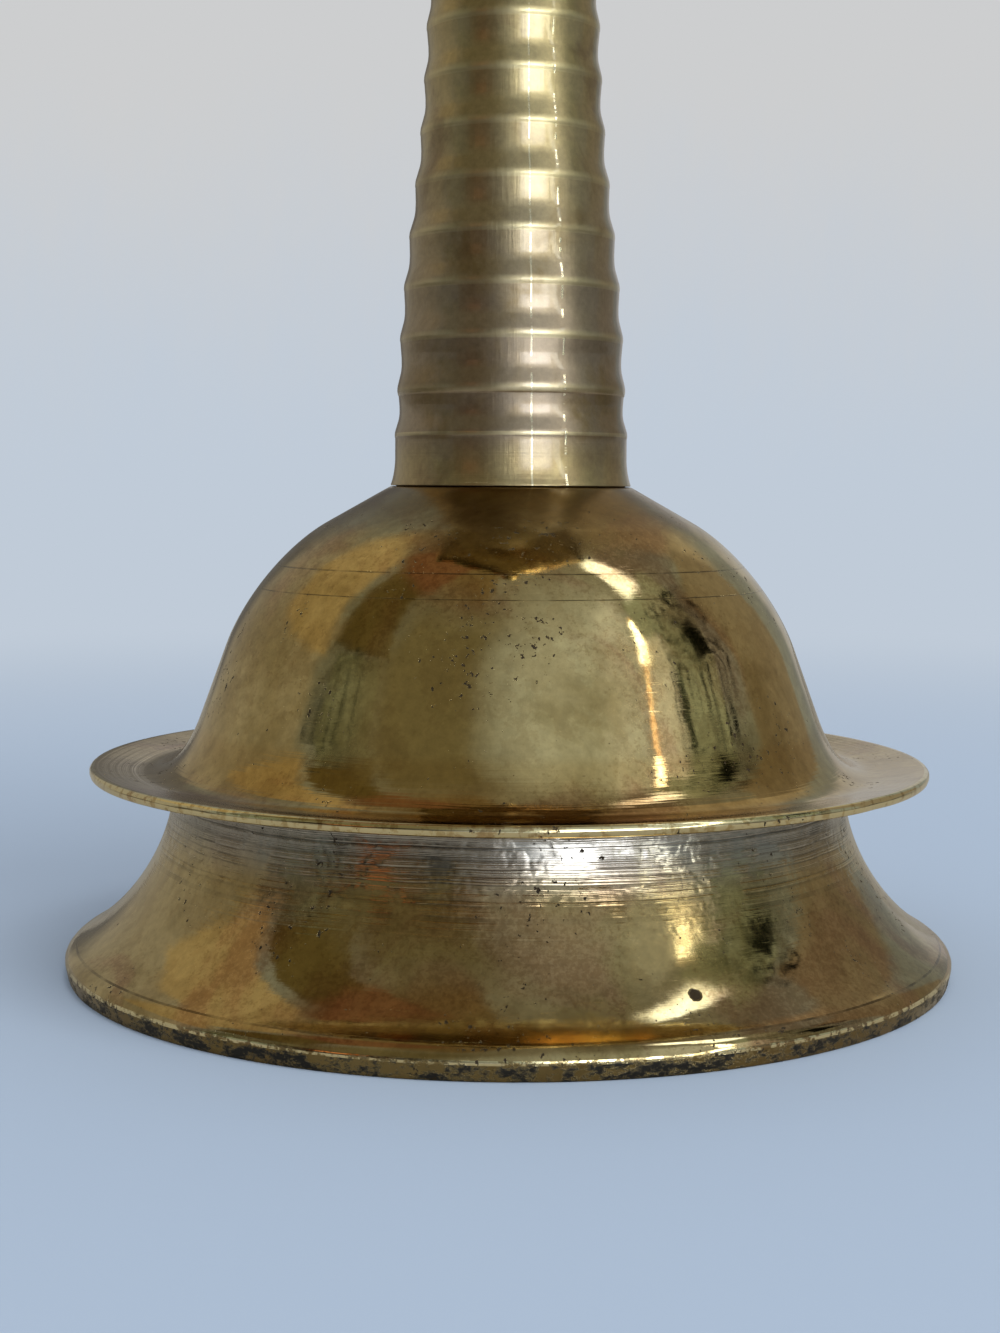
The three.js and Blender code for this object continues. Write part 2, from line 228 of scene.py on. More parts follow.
def make_base(finish, raw):
    """The base, polished outside and raw on the faces of its hollow, which look inwards or down."""
    piece = turned("base_shell", eased(base_outline(), 0.22, 300), 300, base_shape)
    dress(piece, "base", "base_casting", "polished_brass", finish, raw)
    centre = np.zeros(len(piece.data.polygons) * 3)
    piece.data.polygons.foreach_get("center", centre)
    normal = np.zeros_like(centre)
    piece.data.polygons.foreach_get("normal", normal)
    centre, normal = centre.reshape(-1, 3) / MM, normal.reshape(-1, 3)
    outward = (centre[:, :2] * normal[:, :2]).sum(1) / np.hypot(*centre[:, :2].T)
    hollow = (centre[:, 2] > 5) & (np.hypot(*centre[:, :2].T) < 37.5)
    inside = (outward < -0.25) | ((outward < 0.3) & (normal[:, 2] < -0.3) & hollow)
    piece.data.polygons.foreach_set("material_index", inside.astype(np.int32))
    return piece


# Stem, in millimetres: its foot hides the packing on the base but for a thin dark seam
SEAT_PACKING, PACKING, SEAM = 0.3, 0.8, 0.06
STEM_FOOT, FOOT_BAND = 54.3, 59.2
RING_FOOT, RING_PITCH, RING_COUNT = 64.1, 5.69, 12
TENON, TENON_CHAMFER = 5.0, 0.8
NECK_HEIGHT, SAUCER, COLLAR = 16, 13, 9.5
STEM_TOP = RING_FOOT + (RING_COUNT - 0.4) * RING_PITCH + NECK_HEIGHT


def ring_radius(rings):
    """The fullest radius a number of rings up: an even taper with a slow, shallow wave."""
    return 12.85 - 0.457 * rings + 0.22 * np.sin(2 * np.pi * rings / 7)


def rings(foot, pitch, count, radius_at, relief=0.36):
    """Turned rings: each has a narrow crest a tenth of the pitch above its lower edge with a small step under it, a
    straight slope that leans back from it, and a shallow hollow that comes out again to the next ring's step."""
    u = np.linspace(0, count, count * 60 + 1)
    hollow = np.interp(u % 1, (0, 0.04, 0.07, 0.17, 0.46, 0.58, 0.75, 1), (0.27, 0.22, 0, 0, 0.9, 1, 0.82, 0.27))
    return np.column_stack([radius_at(u) - relief * hollow, foot + u * pitch])


def tenon(tip, shoulder):
    """A tenon's half outline from its end on the axis to its shoulder."""
    way = math.copysign(TENON_CHAMFER, shoulder - tip)
    return joined((0, tip), (TENON - TENON_CHAMFER, tip), (TENON, tip + way), (TENON, shoulder))


def thread_shape(ends):
    """Returns a shape that cuts a thread into each tenon, between the heights in ends and fading out over the last
    0.8 mm. Its groove is a V with a flat crest and a flat root."""
    def shape(angle, radius, height):
        groove = THREAD_DEPTH * np.clip(1.6 * (1 - np.abs(2 * thread_turn(angle, height) - 1)) - 0.3, 0, 1)
        for low, high in ends:
            run = np.clip((height - low) / 0.8, 0, 1) * np.clip((high - height) / 0.8, 0, 1)
            radius = radius - groove * run * (radius < TENON + 0.02) * (radius > TENON - 1.2)
        return radius, height
    return shape


def stem_outline():
    """Lower tenon, flared foot, foot band, twelve rings, neck bead, saucer, collar and upper tenon. The last ring
    stops 36 of its 60 steps up, where the neck begins."""
    neck_foot = STEM_TOP - NECK_HEIGHT
    saucer = neck_foot + 10.5
    top_ring = ring_radius(RING_COUNT)
    last_ring = rings(RING_FOOT + (RING_COUNT - 1) * RING_PITCH, RING_PITCH, 1,
                      lambda u: ring_radius(u + RING_COUNT - 1))[:37]
    return joined(
        tenon(STEM_FOOT - 10, STEM_FOOT),
        (13.2, STEM_FOOT), (13.2, SEAT + SEAM), (SEAT_RADIUS, SEAT + SEAM), (SEAT_RADIUS, SEAT + 0.2),
        bend((SEAT_RADIUS, SEAT + 0.2), (13.15, 55.2), (13.06, 56.9), 20),
        rings(FOOT_BAND, RING_FOOT - FOOT_BAND, 1, lambda u: 13.15 - 0.38 * u),
        rings(RING_FOOT, RING_PITCH, RING_COUNT - 1, ring_radius),
        last_ring,
        bend((top_ring, neck_foot + 0.8), (2 * 8.6 - top_ring, neck_foot + 2.3), (top_ring, neck_foot + 3.8), 30),
        sweep((top_ring, neck_foot + 3.8), (6.4, neck_foot + 3.8), (6.4, saucer), (SAUCER, saucer)),
        (SAUCER, saucer + 1.4),
        sweep((SAUCER, saucer + 1.4), (8, saucer + 1.4), (8, STEM_TOP - 0.6), (COLLAR, STEM_TOP - 0.6)),
        (COLLAR, STEM_TOP), (TENON, STEM_TOP),
        tenon(STEM_TOP + 8, STEM_TOP)[::-1],
    )


def make_stem(finish):
    """The stem, threaded on both tenons."""
    outline = eased(stem_outline(), 0.14, 520)
    shape = thread_shape([(STEM_FOOT - 9.6, STEM_FOOT - 1), (STEM_TOP + 1, STEM_TOP + 7.6)])
    return dress(turned("stem_column", outline, 160, shape), "stem", "stem", "satin_brass", finish)


# Oil bowl, in millimetres
BOWL_FOOT = STEM_TOP + PACKING
BOWL, BOWL_DEPTH, BOWL_WALL = 42.0, 13.5, 1.8
HUB, HUB_TOP = 8.2, STEM_TOP + 18.2
LIP_COUNT, LIP_START, LIP_REACH, LIP_DROP = 5, 29, 6.5, 1.6


def bowl_outline():
    """Foot, dish and rounded rim outside, then the same dish moved inwards by the wall's thickness, the floor, and
    the hub with its bead and chamfer."""
    rim = BOWL_FOOT + BOWL_DEPTH
    dish = sweep((11.5, BOWL_FOOT + 2), (26.5, BOWL_FOOT + 2.6), (37.4, rim - 8.7), (41, rim - 2.2))
    inner = inside_of(dish, BOWL_WALL)[::-1]
    floor = inner[-1, 1]
    inner = inner[inner[:, 0] > HUB + 4]
    return joined(
        (BORE, BOWL_FOOT), (11.5, BOWL_FOOT), dish,
        bend((BOWL - 0.9, rim - 2.1), (BOWL + 0.5, rim - 1.2), (BOWL - 0.5, rim), 16), (inner[0, 0], rim), inner,
        bend((HUB + 4, floor), (HUB, floor), (HUB, floor + 4)),
        (HUB, HUB_TOP - 4.2), (HUB + 0.55, HUB_TOP - 3.8), (HUB + 0.55, HUB_TOP - 3.1), (HUB, HUB_TOP - 2.7),
        (HUB, HUB_TOP - 0.6), (HUB - 0.6, HUB_TOP), (BORE, HUB_TOP),
    )


def lips(angle, radius, height):
    """The rim drawn out and down into five lips: across, each goes as (1/2 + 1/2 cos 5a)^5, and outward it grows
    smoothly, as o^2 (3 - 2o), from nothing at 29 mm to its full reach at the rim."""
    across = (0.5 + 0.5 * np.cos(LIP_COUNT * angle)) ** 5
    outward = np.clip((radius - LIP_START) / (BOWL - LIP_START), 0, 1)
    pull = across * outward ** 2 * (3 - 2 * outward)
    return radius + LIP_REACH * pull, height - LIP_DROP * pull


def make_bowl(finish):
    """The oil bowl with its five lips, the front one towards -Y."""
    outline = eased(bowl_outline(), 0.25, 260)
    return dress(turned("lipped_bowl", outline, 360, lips), "bowl", "oil_bowl", "polished_brass", finish)


# Finial, in millimetres
FINIAL_FOOT, FINIAL_HEIGHT = HUB_TOP + PACKING, 86
SPIRE_PITCH, SPIRE_RINGS = 4.2, 6


def finial_outline():
    """Tenon, foot, spire of six rings, disc, gourd, bead, pointed bud and tip."""
    spire = FINIAL_FOOT + 7.5
    crest = spire + SPIRE_RINGS * SPIRE_PITCH
    disc = crest + 2
    gourd = disc + 1.3 + 1.5
    bead = gourd + 15
    bud = bead + 3 + 0.8
    tip = FINIAL_FOOT + FINIAL_HEIGHT
    return joined(
        tenon(FINIAL_FOOT - 7, FINIAL_FOOT),
        (8, FINIAL_FOOT), (8, FINIAL_FOOT + 1.4),
        bend((8, FINIAL_FOOT + 1.4), (5.6, FINIAL_FOOT + 1.4), (5.6, spire - 0.8)),
        rings(spire, SPIRE_PITCH, SPIRE_RINGS, lambda u: 6.4 - 2 * u / SPIRE_RINGS),
        bend((4.4, crest), (4.4, disc), (9.6, disc)), (9.6, disc + 1.3),
        (4, disc + 1.8), (4, gourd),
        sweep((4, gourd), (9.9, gourd + 1.9), (9.9, gourd + 11.25), (2.8, bead)),
        bend((2.8, bead), (6.1, bead + 1.5), (2.8, bead + 3)),
        (2.4, bud),
        sweep((2.4, bud), (7.4, bud + 3.8), (3.7, bud + 12.7), (1.4, bud + 19)),
        bend((1.4, bud + 19), (0.7, bud + 21), (0.7, tip - 0.7)),
        bend((0.7, tip - 0.7), (0.7, tip), (0, tip), 12),
    )


def make_finial(finish):
    """The finial, threaded on its tenon."""
    outline = eased(finial_outline(), 0.12, 420)
    shape = thread_shape([(FINIAL_FOOT - 6.6, FINIAL_FOOT - 1)])
    return dress(turned("finial_spire", outline, 120, shape), "finial", "finial", "polished_brass", finish)


def make_washer(name, body, foot, thickness, radius, finish):
    """A flat packing ring whose outer edge bulges a little where the joint squeezes it."""
    edge = bend((radius - 0.1, foot), (radius + 0.05, foot + thickness / 2), (radius - 0.1, foot + thickness), 8)
    outline = eased(joined((BORE, foot), edge, (BORE, foot + thickness)), 0.08, 60)
    return dress(turned(name + "_ring", outline, 180), body, name, "packing", finish)


# Finishes

def colour(code):
    """An sRGB hex colour as the linear colour that a shader takes."""
    channels = np.array([int(code[i:i + 2], 16) for i in (1, 3, 5)]) / 255
    linear = np.where(channels <= 0.04045, channels / 12.92, ((channels + 0.055) / 1.055) ** 2.4)
    return (*linear, 1)


def add(tree, kind, ins=None, out=0, **settings):
    """Adds one node to a tree, sets its settings, fills or links its inputs by number or name, and returns one
    of its outputs.

    By number, MapRange turns its input 0 from the range 1 to 2 into the range 3 to 4, Mix takes its share at 0 and
    its colours at 6 and 7 and gives the mixed colour at 2, and COMPARE is 1 where 0 lies within 2 of 1.
    """
    made = tree.nodes.new("ShaderNode" + kind)
    for key, value in settings.items():
        setattr(made, key, value)
    for key, value in (ins or {}).items():
        if isinstance(value, bpy.types.NodeSocket):
            tree.links.new(value, made.inputs[key])
        else:
            made.inputs[key].default_value = value
    return made.outputs[out] if len(made.outputs) else made


def new_finish(name):
    """An empty material and its node tree."""
    finish = bpy.data.materials.new(name)
    finish.use_nodes = True
    finish.node_tree.nodes.clear()
    return finish, finish.node_tree


def polished_cast_brass():
    """Cast brass, turned on a lathe, hand polished and then dulled by a brown film. It is a warm mirror with soft,
    slightly wavy reflections, pores of 0.2 to 0.5 mm, hair scratches, and turning lines that are coarse under the
    flange and in the cove."""
    finish, t = new_finish("polished_cast_brass")
    place = add(t, "VectorMath", {0: add(t, "TexCoord", out="Object"), 3: 1 / MM}, operation="SCALE")
    height = add(t, "SeparateXYZ", {0: place}, out="Z")
    flat = add(t, "VectorMath", {0: place, 1: (1, 1, 0)}, operation="MULTIPLY")
    radius = add(t, "VectorMath", {0: flat}, out="Value", operation="LENGTH")
    run = add(t, "Attribute", attribute_name="run", out="Fac")

    # Brown film in clouds of about 15 mm, copper-coloured stains of about 25 mm and a fine mottle of 1 to 2 mm
    clouds = add(t, "TexNoise", {"Vector": place, "Scale": 0.065, "Detail": 5.0, "Roughness": 0.62,
                                 "Distortion": 0.6})
    stains = add(t, "TexNoise", {"Vector": add(t, "VectorMath", {0: place, 1: (31, 7, 12)}), "Scale": 0.04,
                                 "Detail": 4.0, "Roughness": 0.55, "Distortion": 1.2})
    mottle = add(t, "TexNoise", {"Vector": place, "Scale": 0.8, "Detail": 4.0, "Roughness": 0.7})
    film = add(t, "MapRange", {0: clouds, 1: 0.42, 2: 0.66}, interpolation_type="SMOOTHSTEP")
    copper = add(t, "MapRange", {0: stains, 1: 0.52, 2: 0.64, 3: 0.0, 4: 0.55}, interpolation_type="SMOOTHSTEP")
    speckle = add(t, "MapRange", {0: mottle, 1: 0.35, 2: 0.7, 3: 0.83, 4: 1.05})
    tone = add(t, "Mix", {0: film, 6: colour("#E0CA92"), 7: colour("#BCA56E")}, out=2, data_type="RGBA")
    tone = add(t, "Mix", {0: copper, 6: tone, 7: colour("#CDA27A")}, out=2, data_type="RGBA")

    # Flecks of tarnish 0.3 to 1 mm wide, thicker in some places
    flecks = add(t, "TexNoise", {"Vector": add(t, "VectorMath", {0: place, 1: (2, 9, 4)}), "Scale": 1.9,
                                 "Detail": 5.0, "Roughness": 0.78})
    flecks = add(t, "MapRange", {0: add(t, "Math", {0: flecks, 1: stains}), 1: 1.06, 2: 1.14, 3: 0.0, 4: 0.5})

    # The skirt is browner than the dome, and islands of old film with torn edges lie on both
    skirt = add(t, "MapRange", {0: height, 1: 21.4, 2: 20.8})
    islands = add(t, "TexNoise", {"Vector": place, "Scale": 0.16, "Detail": 8.0, "Roughness": 0.72,
                                  "Distortion": 0.1})
    islands = add(t, "MapRange", {0: islands, 1: 0.49, 2: 0.53})
    thin = add(t, "Math", {0: islands, 1: 0.5}, operation="MULTIPLY")
    for share, tint in ((flecks, (0.62, 0.55, 0.46)), (skirt, (0.86, 0.87, 0.92)), (thin, (0.80, 0.75, 0.70))):
        tinted = add(t, "VectorMath", {0: tone, 1: tint}, operation="MULTIPLY")
        tone = add(t, "Mix", {0: share, 6: tone, 7: tinted}, out=2, data_type="RGBA")

    # Under the flange the skirt is painted a pale silver grey, a painted reflection of pale light, and oil has run
    # down over the crown of the dome from the seat
    painted_silver_reflection = add(t, "MapRange", {0: height, 1: 13.5, 2: 19.0, 3: 0.0, 4: 0.9}, interpolation_type="SMOOTHSTEP")
    painted_silver_reflection = add(t, "Math", {0: painted_silver_reflection, 1: skirt}, operation="MULTIPLY")
    tone = add(t, "Mix", {0: painted_silver_reflection, 6: tone, 7: colour("#B0ADA6")}, out=2, data_type="RGBA")
    seat = add(t, "Math", {0: clouds, 1: 9.0, 2: height}, operation="MULTIPLY_ADD")
    seat = add(t, "MapRange", {0: seat, 1: 50.0, 2: 57.5, 3: 0.0, 4: 0.8}, interpolation_type="SMOOTHSTEP")
    on_base = add(t, "Math", {0: height, 1: SEAT + 0.2}, operation="LESS_THAN")
    seat = add(t, "Math", {0: seat, 1: on_base}, operation="MULTIPLY")
    tone = add(t, "Mix", {0: seat, 6: tone, 7: colour("#7C5F2C")}, out=2, data_type="RGBA")

    # The outside of the bowl, which is the part of its outline before its rim, is painted darker brown: painted
    # shade on its underside as well as oil and soot, which also dull it
    soot_and_underside_shade = add(t, "Math", {0: add(t, "Math", {0: height, 1: BOWL_FOOT - 0.5}, operation="GREATER_THAN"),
                            1: add(t, "MapRange", {0: run, 1: 40.0, 2: 36.0})}, operation="MULTIPLY")
    soot_and_underside_shade = add(t, "Math", {0: soot_and_underside_shade, 1: add(t, "Math", {0: height, 1: HUB_TOP}, operation="LESS_THAN")},
                operation="MULTIPLY")
    tone = add(t, "Mix", {0: add(t, "Math", {0: soot_and_underside_shade, 1: 0.75}, operation="MULTIPLY"), 6: tone,
                          7: colour("#6E5830")}, out=2, data_type="RGBA")
    tone = add(t, "VectorMath", {0: tone, 3: speckle}, operation="SCALE")

    # Turning lines, drawn about 0.5 mm apart so that they show; they follow the outline's length and wander a
    # little. The skirt has coarse ones with gaps, and the cove, which is browner, has finer ones
    under_flange = add(t, "Math", {
        0: add(t, "MapRange", {0: height, 1: 7.5, 2: 19.5}, interpolation_type="SMOOTHSTEP"),
        1: add(t, "Math", {0: height, 1: 20.7}, operation="LESS_THAN")}, operation="MULTIPLY")
    cove = add(t, "Math", {
        0: add(t, "MapRange", {0: height, 1: 28.2, 2: 26.6}, interpolation_type="SMOOTHSTEP"),
        1: add(t, "Math", {0: height, 1: 20.9}, operation="GREATER_THAN")}, operation="MULTIPLY")
    gaps = add(t, "TexNoise", {"Vector": place, "Scale": 0.22, "Detail": 3.0, "Roughness": 0.6})
    gaps = add(t, "MapRange", {0: gaps, 1: 0.38, 2: 0.62, 3: 0.25, 4: 1.0}, interpolation_type="SMOOTHSTEP")
    coarse = add(t, "Math", {0: under_flange, 1: gaps}, operation="MULTIPLY")
    wander = add(t, "Math", {0: run, 1: add(t, "TexNoise", {"Vector": place, "Scale": 0.05, "Detail": 2.0})})
    lines = add(t, "TexNoise", {"W": wander, "Scale": 1.7, "Detail": 3.0, "Roughness": 0.7}, noise_dimensions="1D")
    # The hollows of the coarse lines are painted dark: painted shade in the hollows of the turning lines
    groove_shade = add(t, "Math", {0: add(t, "MapRange", {0: lines, 1: 0.46, 2: 0.36, 3: 0.0, 4: 0.65}), 1: coarse},
                  operation="MULTIPLY")
    tone = add(t, "Mix", {0: groove_shade, 6: tone, 7: colour("#3A342A")}, out=2, data_type="RGBA")
    tone = add(t, "Mix", {0: add(t, "Math", {0: cove, 1: 0.4}, operation="MULTIPLY"), 6: tone,
                          7: add(t, "VectorMath", {0: tone, 1: (0.80, 0.66, 0.46)}, operation="MULTIPLY")},
               out=2, data_type="RGBA")
    fine = add(t, "TexNoise", {"W": wander, "Scale": 6.0, "Detail": 2.0, "Roughness": 0.6}, noise_dimensions="1D")
    depth = add(t, "Math", {0: add(t, "Math", {0: coarse, 1: 0.18, 2: 0.0015}, operation="MULTIPLY_ADD"),
                            1: add(t, "Math", {0: cove, 1: 0.02}, operation="MULTIPLY")})
    relief = add(t, "Math", {0: lines, 1: depth}, operation="MULTIPLY")
    relief = add(t, "Math", {0: fine, 1: 0.0008, 2: relief}, operation="MULTIPLY_ADD")

    # Hand polishing leaves waves of about 6 mm and a fine ripple of 1 mm
    waves = add(t, "TexNoise", {"Vector": place, "Scale": 0.17, "Detail": 2.0, "Roughness": 0.5})
    ripple = add(t, "TexNoise", {"Vector": place, "Scale": 1.1, "Detail": 3.0, "Roughness": 0.6})
    relief = add(t, "Math", {0: waves, 1: 0.032, 2: relief}, operation="MULTIPLY_ADD")
    relief = add(t, "Math", {0: ripple, 1: 0.0035, 2: relief}, operation="MULTIPLY_ADD")

    # Pores: dark specks 0.2 to 0.5 mm wide, in loose groups, one of them on the front of the dome
    specks = add(t, "TexNoise", {"Vector": place, "Scale": 1.5, "Detail": 3.0, "Roughness": 0.6})
    groups = add(t, "TexNoise", {"Vector": add(t, "VectorMath", {0: place, 1: (5, 17, 3)}), "Scale": 0.11,
                                 "Detail": 2.0, "Roughness": 0.5})
    front = add(t, "VectorMath", {0: place, 1: (-3.5, -31.0, 38.0)}, out="Value", operation="DISTANCE")
    front = add(t, "MapRange", {0: front, 1: 13.0, 2: 5.0, 3: -0.03, 4: 0.085}, interpolation_type="SMOOTHSTEP")
    groups = add(t, "Math", {0: groups, 1: front})
    limit = add(t, "MapRange", {0: groups, 1: 0.42, 2: 0.64, 3: 0.74, 4: 0.625}, interpolation_type="SMOOTHSTEP")
    pores = add(t, "Math", {0: specks, 1: limit}, operation="SUBTRACT")
    pores = add(t, "MapRange", {0: pores, 1: 0.0, 2: 0.02})

    # One deep pit on the skirt; scribed lines round the dome and the foot of the skirt
    pit = add(t, "VectorMath", {0: place, 1: (17.56, -41.36, 6.11)}, out="Value", operation="DISTANCE")
    pit = add(t, "Math", {0: mottle, 1: 0.5, 2: pit}, operation="MULTIPLY_ADD")
    pit = add(t, "MapRange", {0: pit, 1: 0.98, 2: 0.8})
    holes = add(t, "Math", {0: pores, 1: pit}, operation="MAXIMUM")
    scribed = 0.0
    for level, half in ((45.2, 0.07), (42.7, 0.05), (3.3, 0.07)):
        ring = add(t, "Math", {0: height, 1: level, 2: half}, operation="COMPARE")
        scribed = add(t, "Math", {0: ring, 1: scribed})
    scribed = add(t, "Math", {0: scribed, 1: gaps}, operation="MULTIPLY")

    # Hairlines from polishing: short arcs about 4 mm long that run round the lamp
    stretched = add(t, "VectorMath", {0: place, 1: (0.3, 0.3, 5.0)}, operation="MULTIPLY")
    scratch = add(t, "TexNoise", {"Vector": stretched, "Scale": 1.0, "Detail": 2.0, "Roughness": 0.6})
    scratch = add(t, "MapRange", {0: scratch, 1: 0.66, 2: 0.76, 4: 0.7})

    # The foot's edge is rubbed bright on its corner and black with tarnish in patches below it, and the flange's
    # edge is rubbed too. The light colour on both edges is wear and also a painted highlight
    outer = add(t, "Math", {0: radius, 1: 49.0}, operation="GREATER_THAN")
    rim = add(t, "Math", {0: add(t, "MapRange", {0: height, 1: 2.1, 2: 1.6}), 1: outer}, operation="MULTIPLY")
    crust = add(t, "TexNoise", {"Vector": add(t, "VectorMath", {0: place, 1: (1, 1, 1.8)}, operation="MULTIPLY"),
                                "Scale": 0.38, "Detail": 6.0, "Roughness": 0.8})
    crust = add(t, "Math", {0: add(t, "MapRange", {0: crust, 1: 0.47, 2: 0.56}), 1: rim}, operation="MULTIPLY")
    dull = add(t, "Math", {0: rim, 1: 0.8}, operation="MULTIPLY")
    tone = add(t, "Mix", {0: dull, 6: tone, 7: colour("#7E6D46")}, out=2, data_type="RGBA")
    wear_and_highlight = add(t, "Math", {0: add(t, "Math", {0: height, 1: 1.85, 2: 0.22}, operation="COMPARE"),
                           1: add(t, "MapRange", {0: mottle, 1: 0.46, 2: 0.52})}, operation="MULTIPLY")
    wear_and_highlight = add(t, "Math", {0: wear_and_highlight, 1: outer}, operation="MULTIPLY")
    edge = add(t, "Math", {0: add(t, "Math", {0: radius, 1: 46.95, 2: 0.4}, operation="COMPARE"),
                           1: add(t, "Math", {0: height, 1: 22.5, 2: 0.9}, operation="COMPARE")},
               operation="MULTIPLY")
    edge = add(t, "Math", {0: edge, 1: add(t, "MapRange", {0: mottle, 1: 0.42, 2: 0.5, 3: 0.25, 4: 0.9})},
               operation="MULTIPLY")
    wear_and_highlight = add(t, "Math", {0: wear_and_highlight, 1: edge}, operation="MAXIMUM")
    crust = add(t, "Math", {0: crust, 1: wear_and_highlight}, operation="SUBTRACT", use_clamp=True)
    faint = add(t, "Math", {0: scribed, 1: 0.7}, operation="MULTIPLY")
    # The light colour on the rubbed edges is wear and a painted highlight
    for share, paint in ((crust, "#100E09"), (wear_and_highlight, "#EFE2B4"), (holes, "#33260F"), (faint, "#4A3A1C")):
        tone = add(t, "Mix", {0: share, 6: tone, 7: colour(paint)}, out=2, data_type="RGBA")

    # What makes it rougher than its polish, and what raises it, in millimetres. The crown of the dome is duller
    # towards the seat, and tarnish and holes are hardly metallic
    crown = add(t, "MapRange", {0: height, 1: 45.8, 2: 48.5, 3: 0.0, 4: 0.11}, interpolation_type="SMOOTHSTEP")
    crown = add(t, "Math", {0: crown, 1: on_base}, operation="MULTIPLY")
    shine = add(t, "MapRange", {0: film, 3: 0.03, 4: 0.08})
    for mark, rougher in ((islands, 0.035), (crown, 1.0), (mottle, 0.04), (coarse, 0.15), (scratch, 0.12),
                          (soot_and_underside_shade, 0.16), (crust, 0.4), (holes, 0.5)):
        shine = add(t, "Math", {0: mark, 1: rougher, 2: shine}, operation="MULTIPLY_ADD")
    for mark, raised in ((holes, -0.12), (scratch, -0.003), (scribed, -0.02), (crust, 0.03)):
        relief = add(t, "Math", {0: mark, 1: raised, 2: relief}, operation="MULTIPLY_ADD")
    normal = add(t, "Bump", {"Strength": 1.0, "Distance": MM, "Height": relief})
    metal = add(t, "Math", {0: add(t, "Math", {0: crust, 1: holes}, operation="MAXIMUM"), 1: -0.85, 2: 1.0},
                operation="MULTIPLY_ADD")
    shader = add(t, "BsdfPrincipled", {"Base Color": tone, "Metallic": metal, "Roughness": shine, "Normal": normal})
    add(t, "OutputMaterial", {0: shader})
    return finish


